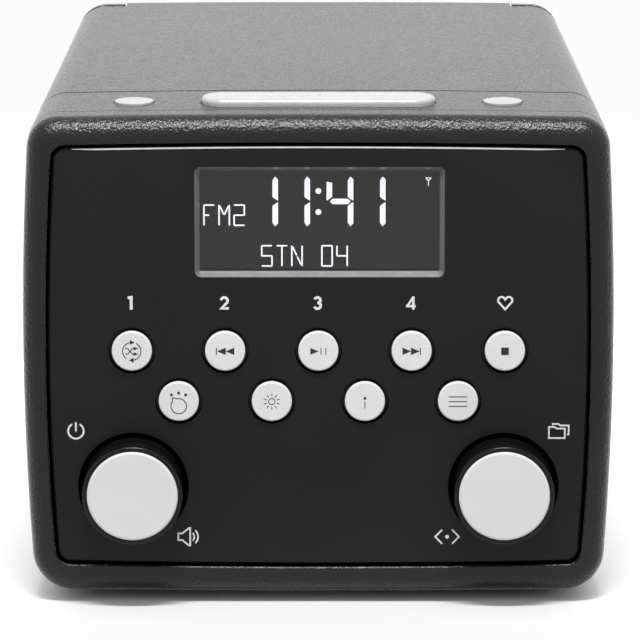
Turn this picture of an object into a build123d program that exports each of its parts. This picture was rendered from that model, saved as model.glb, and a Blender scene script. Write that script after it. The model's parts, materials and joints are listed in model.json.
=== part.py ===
from build123d import *
import os
from math import radians, sin, cos

# Tabletop clock radio with a top-loading disc player. Millimetres, +Z up, front faces -Y.
# The origin is on the table, under the middle of the whole object.

# ---------------------------------------------------------------- driving dimensions
# cabinet outline, drawn across X and Z and tapering towards the back
PANEL_Y = -102.35          # front face of the flat front panel
RIM_FRONT_Y = PANEL_Y - 0.9
RIM_REAR_Y = PANEL_Y + 11.2
BAND_FRONT_Y = PANEL_Y + 11.6     # band that carries the top controls
BAND_REAR_Y = PANEL_Y + 42.1
REAR_FRONT_Y = PANEL_Y + 42.5     # U-shaped rear housing below the lid
LID_FRONT_Y = PANEL_Y + 43.1
REAR_REAR_Y = PANEL_Y + 199.1
CAP_FRONT_Y = PANEL_Y + 199.4     # rear panel, a shallow tray
BACK_Y = PANEL_Y + 207.0
BODY_TOP = 144.0
BODY_LOW = 2.7
TOP_CROWN = 0.9
LOW_CROWN = 0.5
MID_Z = 79.0
MID_HALF = 85.4            # half widths at the front: middle, top corner, bottom corner
TOP_HALF = 83.2
LOW_HALF = 82.4
TAPER = 0.0355             # each side closes in by this much per millimetre of depth
TOP_R = 9.0
LOW_R = 12.0
WALL = 2.6
RIM_ROUND = 5.7

# flat front panel and its groove
PANEL_MID = 77.8
PANEL_TOP_HALF = 75.7
PANEL_LOW_HALF = 75.3
PANEL_TOP = 135.7
PANEL_LOW = 11.8
PANEL_CROWN = 0.9
PANEL_R = 3.6
PANEL_T = 3.0
PANEL_EDGE = 0.45          # chamfer around the panel's face
GROOVE = 0.85
LIP = 0.3                  # chamfer of the rim beside the groove
LEDGE = 3.5

# front controls
PITCH = 26.89              # between buttons of one row
ROW_1_Z = 75.4
ROW_2_Z = 60.5
CAP_R = 5.8
CAP_HOLE_R = 6.85
CAP_PROUD = 1.1
FLANGE_R = 7.8
PRESS = 0.8                # travel of every push button
KNOB_X = 53.6
KNOB_Z = 34.9
KNOB_R = 14.5
KNOB_PROUD = 11.2
KNOB_CAP_R = 13.15
DISH_R = 16.05
DISH_DEPTH = 5.0
SHAFT_R = 3.0

# display
DISPLAY_X = 0.35
DISPLAY_HALF = 35.85
DISPLAY_LOW = 97.0
DISPLAY_TOP = 129.2
DISPLAY_BEVEL = 1.35
DISPLAY_DEPTH = 2.2
DISPLAY_R = 1.8

# top controls, on one line across the band
TOP_LINE_Y = PANEL_Y + 22.8
SNOOZE_LENGTH = 67.8
SNOOZE_WIDTH = 13.8
SNOOZE_PROUD = 2.0
SNOOZE_ROUND = 1.4
SNOOZE_STEM_X = 18.0
ALARM_X = 53.4
ALARM_Y = TOP_LINE_Y + 2.0
ALARM_R = 5.6
ALARM_PROUD = 0.5
ALARM_DOME = 0.6           # rise of the button's middle above its edge
TOP_GAP = 0.45
TOP_BOARD_Z = 134.8        # upper face of the board under the top controls
SWITCH_H = 3.4

# lid and its hinge
SPLIT_Z = 126.5
SPLIT_GAP = 0.3
HINGE_Y = BACK_Y - 4.0
LID_REAR_Y = HINGE_Y - 4.2
HINGE_Z = 140.5
KNUCKLE_R = 3.5
KNUCKLE_HALF = 61.5
PIN_R = 1.5
RUN = 0.06                 # radial clearance of a running fit

# disc player
DISC_Y = PANEL_Y + 119.5
WELL_R = 62.5
DECK_TOP = 125.6
DECK_T = 2.4
WELL_FLOOR = 113.0
WELL_T = 2.0
HUB_HOLE_R = 17.5
SLOT_HALF = 14.0           # slot along the pickup's path
SLOT_FRONT = 61.5
PEG_R = 2.2
PEG_X = 44.0
CHASSIS_Z = 106.0
CHASSIS_T = 1.5
LEAD_X = 27.0              # guide rod and lead screw, left and right of the pickup
ROD_Z = CHASSIS_Z - 4.5
ROD_R = 1.5
ROD_FRONT = DISC_Y - 72.0
ROD_REAR = DISC_Y - 8.0

# loudspeakers, one behind a grille on each side
SPEAKER_Y = DISC_Y
SPEAKER_Z = 60.0
SPEAKER_R = 33.0
SPEAKER_FACE_X = 72.4
GRILLE_LENGTH = 92.0
GRILLE_HEIGHT = 72.0
GRILLE_R = 10.0
GRILLE_SLOTS = 15
GRILLE_PITCH = 5.6
GRILLE_SLOT_W = 2.6

# rear
AERIAL_X = -58.0
AERIAL_Z = 118.0
AERIAL_OFF = 6.4           # aerial's axis behind the back
SOCKET_Z = 30.0

BOARD_T = 1.6
FRONT_BOARD_Y = PANEL_Y + 10.0
BUSH_R = 4.4               # threaded bush of an encoder
MAIN_BOARD_Z = 13.0
FOOT_X = 55.0
FOOT_LENGTH = 27.5
FOOT_WIDTH = 12.0
FOOT_TOP = 5.0
FOOT_YS = (PANEL_Y + 21.5, PANEL_Y + 181.5)
POST_YS = (PANEL_Y + 51.5, PANEL_Y + 189.5)
POST_X = 66.0              # pillars that carry the deck

os.makedirs("parts", exist_ok=True)


# ---------------------------------------------------------------- helpers
def save(name, *solids):
    """Write one node: a single solid, or a group of separate ones."""
    shape = solids[0] if len(solids) == 1 else Compound(children=list(solids))
    export_step(shape, f"parts/{name}.step")


def slab(sketch, y0, y1):
    """Extrude an outline drawn in X and Z from depth y0 back to depth y1."""
    plane = Plane(origin=(0, y1, 0), x_dir=(1, 0, 0), z_dir=(0, -1, 0))
    return extrude(plane * sketch, y1 - y0)


def block(x0, x1, y0, y1, z0, z1):
    centre = Pos((x0 + x1) / 2, (y0 + y1) / 2, (z0 + z1) / 2)
    return centre * Box(x1 - x0, y1 - y0, z1 - z0)


def post_x(y, z, r, x0, x1):
    return Pos((x0 + x1) / 2, y, z) * Rot(0, 90, 0) * Cylinder(r, abs(x1 - x0))


def post_y(x, z, r, y0, y1):
    return Pos(x, (y0 + y1) / 2, z) * Rot(90, 0, 0) * Cylinder(r, y1 - y0)


def post_z(x, y, r, z0, z1):
    return Pos(x, y, (z0 + z1) / 2) * Cylinder(r, z1 - z0)


def barrel(mid, top, low, z_top, z_low, top_crown, low_crown, r_top, r_low):
    """Four-sided outline with gently bowed sides and rounded corners."""
    high, base = z_top - top_crown, z_low + low_crown
    outline = [
        ThreePointArc((-top, high), (0, z_top), (top, high)),
        ThreePointArc((top, high), (mid, MID_Z), (low, base)),
        ThreePointArc((low, base), (0, z_low), (-low, base)),
        ThreePointArc((-low, base), (-mid, MID_Z), (-top, high)),
    ]
    face = make_face(outline)
    face = fillet(face.vertices().group_by(Axis.Y)[-1], r_top)
    return fillet(face.vertices().group_by(Axis.Y)[0], r_low)


def cabinet_outline(y, inset):
    """Cabinet outline at depth y, moved inwards by inset."""
    narrow = TAPER * (y - RIM_REAR_Y) + inset
    return barrel(
        MID_HALF - narrow, TOP_HALF - narrow, LOW_HALF - narrow,
        BODY_TOP - inset, BODY_LOW + inset, TOP_CROWN, LOW_CROWN,
        TOP_R - inset, LOW_R - inset,
    )


def cabinet_solid(y0, y1, inset=0.0):
    """Tapered cabinet body between two depths."""
    ends = []
    for y in (y0, y1):
        plane = Plane(origin=(0, y, 0), x_dir=(1, 0, 0), z_dir=(0, -1, 0))
        ends.append(plane * cabinet_outline(y, inset))
    return loft(ends, ruled=True)


def cabinet_shell(y0, y1, inset=0.0, thickness=WALL):
    return cabinet_solid(y0, y1, inset) - cabinet_solid(y0 - 0.01, y1 + 0.01, inset + thickness)


def panel_outline(grow):
    """Front panel outline, moved outwards by grow."""
    return barrel(
        PANEL_MID + grow, PANEL_TOP_HALF + grow, PANEL_LOW_HALF + grow,
        PANEL_TOP + grow, PANEL_LOW - grow, PANEL_CROWN, PANEL_CROWN,
        PANEL_R + grow, PANEL_R + grow,
    )


def top_surface(x):
    """Height of the crowned top at a distance x from the middle."""
    return BODY_TOP - TOP_CROWN * (x / TOP_HALF) ** 2


def button_places():
    """Names and centres of the nine round front buttons."""
    upper = ("preset_1_button", "preset_2_button", "preset_3_button", "preset_4_button",
             "favourite_button")
    lower = ("source_button", "dimmer_button", "info_button", "menu_button")
    places = [(name, (i - 2) * PITCH, ROW_1_Z) for i, name in enumerate(upper)]
    places += [(name, (i - 1.5) * PITCH, ROW_2_Z) for i, name in enumerate(lower)]
    return places


# ---------------------------------------------------------------- front
def front_bezel():
    """Rounded rim around the front, with a ledge for the panel and a tongue into the band."""
    rim = slab(cabinet_outline(RIM_REAR_Y, 0.0), RIM_FRONT_Y, RIM_REAR_Y)
    rim = fillet(rim.faces().sort_by(Axis.Y)[0].outer_wire().edges(), RIM_ROUND)
    rim -= slab(panel_outline(GROOVE), RIM_FRONT_Y, PANEL_Y + PANEL_T)
    rim = chamfer(rim.faces().sort_by(Axis.Y)[0].inner_wires()[0].edges(), LIP)
    rim -= slab(panel_outline(-LEDGE), PANEL_Y, RIM_REAR_Y)
    inner = cabinet_outline(RIM_REAR_Y, WALL + 0.2)
    tongue = slab(inner, RIM_REAR_Y, RIM_REAR_Y + 3.0)
    tongue -= slab(cabinet_outline(RIM_REAR_Y, 2 * WALL), RIM_REAR_Y - 1, RIM_REAR_Y + 4)
    return rim + tongue


def front_panel():
    """Flat panel with round button holes, two knob dishes and the display opening."""
    panel = slab(panel_outline(0.0), PANEL_Y, PANEL_Y + PANEL_T)
    panel = chamfer(panel.faces().sort_by(Axis.Y)[0].outer_wire().edges(), PANEL_EDGE)
    floor = PANEL_Y + DISH_DEPTH
    for side in (-1, 1):
        x = side * KNOB_X
        panel += post_y(x, KNOB_Z, DISH_R + 1.6, PANEL_Y + PANEL_T, floor + 1.8)
        panel -= post_y(x, KNOB_Z, DISH_R, PANEL_Y - 1, floor)
        panel -= post_y(x, KNOB_Z, SHAFT_R + 1.6, floor - 1, floor + 3)
    for _, x, z in button_places():
        panel -= post_y(x, z, CAP_HOLE_R, PANEL_Y - 1, PANEL_Y + PANEL_T + 1)
    panel -= slab(display_outline(0.0), PANEL_Y - 1, PANEL_Y + PANEL_T + 1)
    return panel


def display_outline(inset):
    width = 2 * (DISPLAY_HALF - inset)
    height = DISPLAY_TOP - DISPLAY_LOW - 2 * inset
    centre = (DISPLAY_TOP + DISPLAY_LOW) / 2
    return Pos(DISPLAY_X, centre) * RectangleRounded(width, height, max(DISPLAY_R - inset, 0.5))


def display_frame():
    """Bevelled frame that drops from the panel to the window."""
    rear = PANEL_Y + PANEL_T + 1.2
    frame = slab(display_outline(0.0), PANEL_Y, rear)
    flange = display_outline(-2.0)
    frame += slab(flange, PANEL_Y + PANEL_T, rear)
    plane = Plane(origin=(0, PANEL_Y, 0), x_dir=(1, 0, 0), z_dir=(0, -1, 0))
    deep = Plane(origin=(0, PANEL_Y + DISPLAY_DEPTH, 0), x_dir=(1, 0, 0), z_dir=(0, -1, 0))
    frame -= loft([plane * display_outline(0.05), deep * display_outline(DISPLAY_BEVEL)], ruled=True)
    frame -= slab(display_outline(DISPLAY_BEVEL), PANEL_Y + 1, rear + 1)
    frame -= slab(display_outline(0.5), PANEL_Y + DISPLAY_DEPTH + 0.4, rear + 1)
    return frame


def display_window():
    front = PANEL_Y + DISPLAY_DEPTH + 0.4
    return slab(display_outline(0.6), front, front + 1.5)


def lcd_glass():
    front = PANEL_Y + DISPLAY_DEPTH + 2.0
    return slab(display_outline(0.7), front, front + 2.2)


def lcd_backlight():
    front = PANEL_Y + DISPLAY_DEPTH + 4.3
    return slab(display_outline(0.4), front, front + 3.0)


def front_board():
    rear = FRONT_BOARD_Y + BOARD_T
    board = block(-69.0, 69.0, FRONT_BOARD_Y, rear, 20.0, 129.0)
    board += block(-12.0, 12.0, rear, rear + 2.0, 100.0, 118.0)
    for x in (-KNOB_X, KNOB_X):
        board -= post_y(x, KNOB_Z, BUSH_R, FRONT_BOARD_Y - 1, rear + 1)
    return board


def tact_switch_front(x, z):
    """Small push switch standing on the front board."""
    body = block(x - 3, x + 3, FRONT_BOARD_Y - SWITCH_H + 0.8, FRONT_BOARD_Y, z - 3, z + 3)
    return body + post_y(x, z, 1.7, FRONT_BOARD_Y - SWITCH_H, FRONT_BOARD_Y - 1)


def tact_switch_top(x, y):
    """The same switch lying on the board under the top controls."""
    body = block(x - 3, x + 3, y - 3, y + 3, TOP_BOARD_Z, TOP_BOARD_Z + SWITCH_H - 0.8)
    return body + post_z(x, y, 1.7, TOP_BOARD_Z + 1, TOP_BOARD_Z + SWITCH_H)


def front_button(x, z):
    """Round cap with a soft edge, a flange behind the panel and a stem to its switch."""
    front = PANEL_Y - CAP_PROUD
    flange_y = PANEL_Y + PANEL_T + 0.05
    cap = post_y(x, z, CAP_R, front, flange_y + 1.2)
    cap = fillet(cap.faces().sort_by(Axis.Y)[0].edges(), 0.45)
    flange = post_y(x, z, FLANGE_R, flange_y, flange_y + 1.2)
    stem_end = FRONT_BOARD_Y - SWITCH_H - PRESS - 0.1
    return cap + flange + post_y(x, z, 2.0, flange_y + 1, stem_end)


def knob_body(x):
    """Black drum of a knob, open at the front for its light cap, bored for the shaft."""
    front, rear = PANEL_Y - KNOB_PROUD, PANEL_Y + 3.4
    drum = post_y(x, KNOB_Z, KNOB_R, front, rear)
    drum = fillet(drum.faces().sort_by(Axis.Y)[0].edges(), 0.6)
    drum -= post_y(x, KNOB_Z, KNOB_CAP_R, front - 1, front + 1.2)
    drum -= post_y(x, KNOB_Z, SHAFT_R, front + 4, rear + 1)
    return drum


def knob_cap(x):
    """Light disc with a slightly domed face, seated in the drum."""
    front = PANEL_Y - KNOB_PROUD - 0.5
    cap = post_y(x, KNOB_Z, KNOB_CAP_R, front, front + 1.7)
    return fillet(cap.faces().sort_by(Axis.Y)[0].edges(), 0.8)


def knob_shaft(x):
    """Shaft of the encoder, pushed into the knob, sliding in the rotor."""
    return post_y(x, KNOB_Z, SHAFT_R, PANEL_Y - KNOB_PROUD + 4, PANEL_Y + 13.0)


def encoder_rotor(x):
    """Sleeve that turns with the shaft and lets it slide when the knob is pushed."""
    sleeve = post_y(x, KNOB_Z, 5.0, PANEL_Y + 15.0 - 3.0, PANEL_Y + 15.0 + 1.0)
    return sleeve - post_y(x, KNOB_Z, SHAFT_R + RUN, PANEL_Y + 10, PANEL_Y + 20)


def encoder_case(x):
    """Encoder housing behind the front board with its threaded bush."""
    case = block(x - 7, x + 7, FRONT_BOARD_Y + BOARD_T, PANEL_Y + 18.5, KNOB_Z - 7, KNOB_Z + 7)
    case += post_y(x, KNOB_Z, BUSH_R, FRONT_BOARD_Y - 2.6, FRONT_BOARD_Y + BOARD_T + 0.2)
    case -= post_y(x, KNOB_Z, 5.4, PANEL_Y + 11.8, PANEL_Y + 17.0)
    return case - post_y(x, KNOB_Z, SHAFT_R + RUN, PANEL_Y, PANEL_Y + 14)


# ---------------------------------------------------------------- band with the top controls
def pill(grow):
    return Pos(0, TOP_LINE_Y) * SlotOverall(SNOOZE_LENGTH + 2 * grow, SNOOZE_WIDTH + 2 * grow)


def feet_solids():
    """Four rubber feet, let into the underside."""
    feet = []
    for y in FOOT_YS:
        for side in (-1, 1):
            pad = Pos(side * FOOT_X, y) * SlotOverall(FOOT_LENGTH, FOOT_WIDTH)
            foot = extrude(pad, FOOT_TOP)
            feet.append(chamfer(foot.faces().sort_by(Axis.Z)[0].edges(), 0.6))
    return feet


def control_band():
    """Full ring behind the rim, with openings for the top controls."""
    band = cabinet_shell(BAND_FRONT_Y, BAND_REAR_Y)
    band -= extrude(Pos(0, 0, 135) * pill(TOP_GAP), 20)
    for side in (-1, 1):
        band -= post_z(side * ALARM_X, ALARM_Y, ALARM_R + TOP_GAP, 135, 150)
    for foot in feet_solids():
        band -= foot
    return band


def snooze_bar():
    """Long light bar, flanged under the skin, with two stems."""
    top = BODY_TOP + SNOOZE_PROUD
    bar = extrude(Pos(0, 0, BODY_TOP - WALL - 1.6) * pill(0.0), top - BODY_TOP + WALL + 1.6)
    bar = fillet(bar.faces().sort_by(Axis.Z)[-1].edges(), SNOOZE_ROUND)
    under = BODY_TOP - WALL - 0.5
    bar += extrude(Pos(0, 0, under - 1.2) * pill(1.6), 1.2)
    end = TOP_BOARD_Z + SWITCH_H + PRESS + 0.1
    for x in (-SNOOZE_STEM_X, SNOOZE_STEM_X):
        bar += post_z(x, TOP_LINE_Y, 2.0, end, under)
    return bar


def alarm_button(x):
    """Small round button with a domed face, a flange under the skin and one stem."""
    skin = top_surface(x)
    top = skin + ALARM_PROUD + ALARM_DOME
    ball_r = (ALARM_R ** 2 + ALARM_DOME ** 2) / (2 * ALARM_DOME)
    cap = post_z(x, ALARM_Y, ALARM_R, skin - WALL - 1.4, top)
    cap &= Pos(x, ALARM_Y, top - ball_r) * Sphere(ball_r)
    under = skin - WALL - 0.35
    flange = post_z(x, ALARM_Y, ALARM_R + 1.6, under - 1.1, under)
    return cap + flange + post_z(x, ALARM_Y, 1.8, TOP_BOARD_Z + SWITCH_H + PRESS + 0.1, under)


def top_board():
    return block(-68.0, 68.0, TOP_LINE_Y - 9, TOP_LINE_Y + 15, TOP_BOARD_Z - BOARD_T, TOP_BOARD_Z)


# ---------------------------------------------------------------- rear housing, lid and deck
def deck_posts():
    """Centres of the four pillars that carry the deck."""
    return [(side * POST_X, y) for side in (-1, 1) for y in POST_YS]


def grille_outline(grow):
    return Pos(SPEAKER_Y, SPEAKER_Z + 4) * RectangleRounded(
        GRILLE_LENGTH + 2 * grow, GRILLE_HEIGHT + 2 * grow, GRILLE_R + grow)


def side_prism(sketch, x0, x1):
    """Extrude an outline drawn in Y and Z from x0 to x1."""
    plane = Plane(origin=(x0, 0, 0), x_dir=(0, 1, 0), z_dir=(1, 0, 0))
    return extrude(plane * sketch, x1 - x0)


def rear_housing():
    """Open-topped shell with pillars, baffle rings for the speakers, and floor vents."""
    housing = cabinet_shell(REAR_FRONT_Y, REAR_REAR_Y)
    housing -= block(-100, 100, REAR_FRONT_Y - 1, REAR_REAR_Y + 1, SPLIT_Z - SPLIT_GAP, 160)
    inside = cabinet_solid(REAR_FRONT_Y, REAR_REAR_Y, WALL - 0.4)
    for x, y in deck_posts():
        housing += post_z(x, y, 4.0, BODY_LOW + 1.4, DECK_TOP - DECK_T)
    for x in (-50.0, 50.0):
        for y in (DISC_Y - 56, DISC_Y + 56):
            housing += post_z(x, y, 3.5, BODY_LOW + 1.4, MAIN_BOARD_Z)
    for side in (-1, 1):
        x0, x1 = (72.6, 90.0) if side > 0 else (-90.0, -72.6)
        ring = side_prism(grille_outline(3.0), x0, x1)
        housing += ring & inside
        housing -= side_prism(grille_outline(-2.0), x0 - 1, x1 + 1)
        housing -= side_prism(grille_outline(0.2), x0, x1) - cabinet_solid(REAR_FRONT_Y, REAR_REAR_Y, 2.2)
    for foot in feet_solids():
        housing -= foot
    for i in range(9):
        x = (i - 4) * 7.0
        housing -= Pos(x, DISC_Y, BODY_LOW) * Box(2.6, 44.0, 8.0)
    return housing


def grille():
    """Slotted cover of the left side, which follows the cabinet's surface."""
    x0, x1 = -90.0, -60.0
    skin = cabinet_shell(SPEAKER_Y - 60, SPEAKER_Y + 60, 0.2, 1.9)
    cover = skin & side_prism(grille_outline(0.0), x0, x1)
    for i in range(GRILLE_SLOTS):
        y = SPEAKER_Y + (i - (GRILLE_SLOTS - 1) / 2) * GRILLE_PITCH
        slot = Pos(y, SPEAKER_Z + 4) * Rot(0, 0, 90) * SlotOverall(GRILLE_HEIGHT - 10, GRILLE_SLOT_W)
        cover -= side_prism(slot, x0, x1)
    return cover


def cd_lid():
    """Top cover with rounded shoulders, a front wall and a hinge knuckle along its back edge."""
    lid = cabinet_shell(LID_FRONT_Y, LID_REAR_Y)
    lid -= block(-100, 100, LID_FRONT_Y - 1, BACK_Y, -10, SPLIT_Z + SPLIT_GAP)
    wall = cabinet_solid(LID_FRONT_Y, LID_FRONT_Y + 2.0, WALL - 0.2)
    lid += wall - block(-100, 100, LID_FRONT_Y - 1, 0, -10, SPLIT_Z + SPLIT_GAP)
    whole = cabinet_solid(LID_FRONT_Y, BACK_Y)
    tongue = block(-KNUCKLE_HALF, KNUCKLE_HALF, LID_REAR_Y - 2, HINGE_Y, BODY_TOP - WALL, 150)
    tongue += post_x(HINGE_Y, HINGE_Z, KNUCKLE_R, -KNUCKLE_HALF, KNUCKLE_HALF)
    lid += tongue & whole
    lid -= post_x(HINGE_Y, HINGE_Z, PIN_R + RUN, -90, 90)
    clamp = post_z(0, DISC_Y, 17.0, 137.0, BODY_TOP - 1) - post_z(0, DISC_Y, 14.0, 130, 140)
    return lid + (clamp & whole)


def rear_panel():
    """Shallow tray that closes the back, notched for the lid's knuckle, with the socket cut-outs."""
    tray = cabinet_solid(CAP_FRONT_Y, BACK_Y)
    tray = chamfer(tray.faces().sort_by(Axis.Y)[0].outer_wire().edges(), 2.2)
    tray = fillet(tray.faces().sort_by(Axis.Y)[-1].outer_wire().edges(), 3.0)
    tray -= cabinet_solid(CAP_FRONT_Y - 0.01, BACK_Y - 2.6, 3.2)
    for side in (-1, 1):
        x0, x1 = sorted((side * (KNUCKLE_HALF + 0.5), side * 70.0))
        tray += block(x0, x1, CAP_FRONT_Y + 0.4, BACK_Y - 2, 128.0, HINGE_Z + 0.5)
    tray -= block(-KNUCKLE_HALF - 0.5, KNUCKLE_HALF + 0.5, CAP_FRONT_Y - 1, BACK_Y + 1, 136.5, 150)
    tray -= post_x(HINGE_Y, HINGE_Z, PIN_R, -68.0, 68.0)
    for x, r in socket_places():
        tray -= post_y(x, SOCKET_Z, r, BACK_Y - 4, BACK_Y + 1)
    tray -= block(USB_X - 7.2, USB_X + 7.2, BACK_Y - 4, BACK_Y + 1, SOCKET_Z - 3.6, SOCKET_Z + 3.6)
    tray -= post_y(AERIAL_X, AERIAL_Z, 5.0 + RUN, BACK_Y - 4, BACK_Y + 1)
    for i in range(9):
        z = 58.0 + i * 5.0
        tray -= block(-24.0, 24.0, BACK_Y - 4, BACK_Y + 1, z - 1.2, z + 1.2)
    for x, z in rear_screw_places():
        tray -= post_y(x, z, 1.5, BACK_Y - 4, BACK_Y + 1)
    return tray


def lid_hinge_pin():
    return post_x(HINGE_Y, HINGE_Z, PIN_R, -68.0, 68.0)


def cd_deck():
    """Deck under the lid with the round wall of the disc well and the two front pegs."""
    deck = cabinet_solid(LID_FRONT_Y + 3, REAR_REAR_Y - 0.6, WALL + 0.3)
    deck &= block(-100, 100, LID_FRONT_Y, BACK_Y, DECK_TOP - DECK_T, DECK_TOP)
    deck += post_z(0, DISC_Y, WELL_R + WELL_T, WELL_FLOOR, DECK_TOP)
    deck -= post_z(0, DISC_Y, WELL_R, WELL_FLOOR - 1, DECK_TOP + 1)
    for x, y in front_pegs():
        deck += post_z(x, y, PEG_R, CHASSIS_Z - 1.5, DECK_TOP - DECK_T + 0.5)
    return deck


def well_floor():
    """Floor of the disc well, open at the hub and along the pickup's path, with the two rear pegs."""
    plate = post_z(0, DISC_Y, WELL_R + WELL_T, WELL_FLOOR - WELL_T, WELL_FLOOR)
    plate -= post_z(0, DISC_Y, HUB_HOLE_R, WELL_FLOOR - 5, WELL_FLOOR + 1)
    plate -= block(-SLOT_HALF, SLOT_HALF, DISC_Y - SLOT_FRONT, DISC_Y - 8, WELL_FLOOR - 5, WELL_FLOOR + 1)
    for x, y in rear_pegs():
        plate += post_z(x, y, PEG_R, CHASSIS_Z - 1.5, WELL_FLOOR - WELL_T + 0.5)
    return plate


# ---------------------------------------------------------------- disc player
def front_pegs():
    return [(-PEG_X, DISC_Y - 58.0), (PEG_X, DISC_Y - 58.0)]


def rear_pegs():
    return [(-PEG_X, DISC_Y + 26.0), (PEG_X, DISC_Y + 26.0)]


def chassis_pegs():
    return front_pegs() + rear_pegs()


def loader_chassis():
    """Stamped plate that floats on four grommets under the deck."""
    plate = block(-50, 50, DISC_Y - 73, DISC_Y + 32, CHASSIS_Z, CHASSIS_Z + CHASSIS_T)
    plate -= block(-20, 20, DISC_Y - 69, DISC_Y - 13, CHASSIS_Z - 1, CHASSIS_Z + 3)
    plate -= post_z(0, DISC_Y, 4.0, CHASSIS_Z - 1, CHASSIS_Z + 3)
    for x, y in chassis_pegs():
        plate -= post_z(x, y, 4.0, CHASSIS_Z - 1, CHASSIS_Z + 3)
    for y in (ROD_FRONT, ROD_REAR - 2.0):
        for x in (-LEAD_X, LEAD_X):
            plate += block(x - 3, x + 3, y, y + 2, CHASSIS_Z - 8, CHASSIS_Z + 0.5)
    plate -= post_y(-LEAD_X, ROD_Z, ROD_R, ROD_FRONT - 1, ROD_REAR + 1)
    return plate - post_y(LEAD_X, ROD_Z, ROD_R + RUN, ROD_FRONT - 1, ROD_REAR + 1)


def loader_grommets():
    """Rubber bushes around the deck's pegs, waisted where they hold the chassis."""
    bushes = []
    for x, y in chassis_pegs():
        bush = post_z(x, y, 4.0, CHASSIS_Z - 1.5, CHASSIS_Z + 3.0)
        bush += post_z(x, y, 5.5, CHASSIS_Z + CHASSIS_T, CHASSIS_Z + 3.0)
        bush += post_z(x, y, 5.5, CHASSIS_Z - 1.5, CHASSIS_Z)
        bushes.append(bush - post_z(x, y, PEG_R, CHASSIS_Z - 3, CHASSIS_Z + 5))
    return bushes


def turntable():
    """Disc support with a centring cone, on the motor's shaft."""
    hub = post_z(0, DISC_Y, 15.0, WELL_FLOOR + 0.5, WELL_FLOOR + 2.5)
    hub += post_z(0, DISC_Y, 7.3, WELL_FLOOR + 2.4, WELL_FLOOR + 4.4)
    hub += Pos(0, DISC_Y, WELL_FLOOR + 5.2) * Cone(7.3, 5.5, 1.6)
    hub += post_z(0, DISC_Y, 4.0, WELL_FLOOR - 2.0, WELL_FLOOR + 1.0)
    hub += post_z(0, DISC_Y, 1.0, CHASSIS_Z - 6.0, WELL_FLOOR)
    for i in range(3):
        angle = radians(90 + 120 * i)
        hub -= Pos(7.0 * cos(angle), DISC_Y + 7.0 * sin(angle), WELL_FLOOR + 3.6) * Sphere(1.0)
    return hub


def spindle_motor():
    """Flat motor under the chassis, bored for the turntable's shaft."""
    can = post_z(0, DISC_Y, 12.0, CHASSIS_Z - 8.0, CHASSIS_Z)
    can = fillet(can.faces().sort_by(Axis.Z)[0].edges(), 1.0)
    can += post_z(0, DISC_Y, 3.0, CHASSIS_Z - 0.5, CHASSIS_Z + 2.0)
    return can - post_z(0, DISC_Y, 1.0 + RUN, CHASSIS_Z - 6.5, CHASSIS_Z + 3)


LENS_Y = DISC_Y - 24.0      # lens below the disc's innermost track


def optical_pickup():
    """Sled with the laser lens, running on one rod and driven by the lead screw."""
    y = LENS_Y
    sled = block(-16, 16, y - 8, y + 6, CHASSIS_Z - 7, CHASSIS_Z + 2.5)
    sled += block(-LEAD_X - 4, LEAD_X + 4, y - 6, y + 4, ROD_Z - 2.5, ROD_Z + 2.8)
    sled += post_z(0, y, 3.4, CHASSIS_Z + 2, CHASSIS_Z + 5.0)
    sled -= post_z(0, y, 2.2, CHASSIS_Z + 4.2, CHASSIS_Z + 6)
    for x in (-LEAD_X, LEAD_X):
        sled -= post_y(x, ROD_Z, ROD_R + RUN, y - 20, y + 20)
    return sled


def guide_rod():
    return post_y(-LEAD_X, ROD_Z, ROD_R, ROD_FRONT, ROD_REAR)


def lead_screw():
    """Drive screw parallel to the rod, with its worm wheel at the rear end."""
    screw = post_y(LEAD_X, ROD_Z, ROD_R, ROD_FRONT, ROD_REAR + 6.0)
    return screw + post_y(LEAD_X, ROD_Z, 4.0, ROD_REAR + 1.0, ROD_REAR + 6.0)


def sled_motor():
    """Small motor beside the spindle motor, its shaft in line with the lead screw."""
    can = post_y(LEAD_X, ROD_Z, 7.0, ROD_REAR + 8.5, ROD_REAR + 24.0)
    can = fillet(can.faces().sort_by(Axis.Y)[-1].edges(), 1.0)
    return can - block(10, 50, DISC_Y - 5, DISC_Y + 30, CHASSIS_Z, 130)


# ---------------------------------------------------------------- loudspeakers
def speaker_frame():
    """Pressed basket of the left speaker, with its magnet."""
    front = -SPEAKER_FACE_X
    centre = (SPEAKER_Y, SPEAKER_Z)
    flange = post_x(*centre, SPEAKER_R + 3, front, front + 1.6)
    flange -= post_x(*centre, SPEAKER_R - 1, front - 1, front + 3)
    basket = post_x(*centre, SPEAKER_R, front, front + 6)
    basket += Pos(front + 11.0, SPEAKER_Y, SPEAKER_Z) * Rot(0, -90, 0) * Cone(17.0, SPEAKER_R, 10.0)
    basket -= Pos(front + 6.5, SPEAKER_Y, SPEAKER_Z) * Rot(0, -90, 0) * Cone(15.0, SPEAKER_R - 1.4, 16.0)
    magnet = post_x(*centre, 22.0, front + 16, front + 27)
    return flange + basket + magnet + post_x(*centre, 13.0, front + 15.5, front + 18)


def speaker_cone():
    """Paper cone of the left speaker, with its dust cap."""
    place = Pos(5.7 - SPEAKER_FACE_X, SPEAKER_Y, SPEAKER_Z) * Rot(0, -90, 0)
    cone = place * Cone(13.0, SPEAKER_R - 3.2, 11.0)
    cone -= place * Pos(0, 0, 0.9) * Cone(12.4, SPEAKER_R - 3.4, 11.4)
    dome = Pos(11.0 - SPEAKER_FACE_X, SPEAKER_Y, SPEAKER_Z) * Sphere(10.0)
    keep = post_x(SPEAKER_Y, SPEAKER_Z, 12.0, -SPEAKER_FACE_X, 10.8 - SPEAKER_FACE_X)
    return cone + (dome & keep)


# ---------------------------------------------------------------- rear fittings
USB_X = 14.0


def socket_places():
    """X and hole radius of the round sockets: supply inlet, line in, headphones."""
    return [(52.0, 5.6), (34.0, 4.0), (-8.0, 4.0)]


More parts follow.
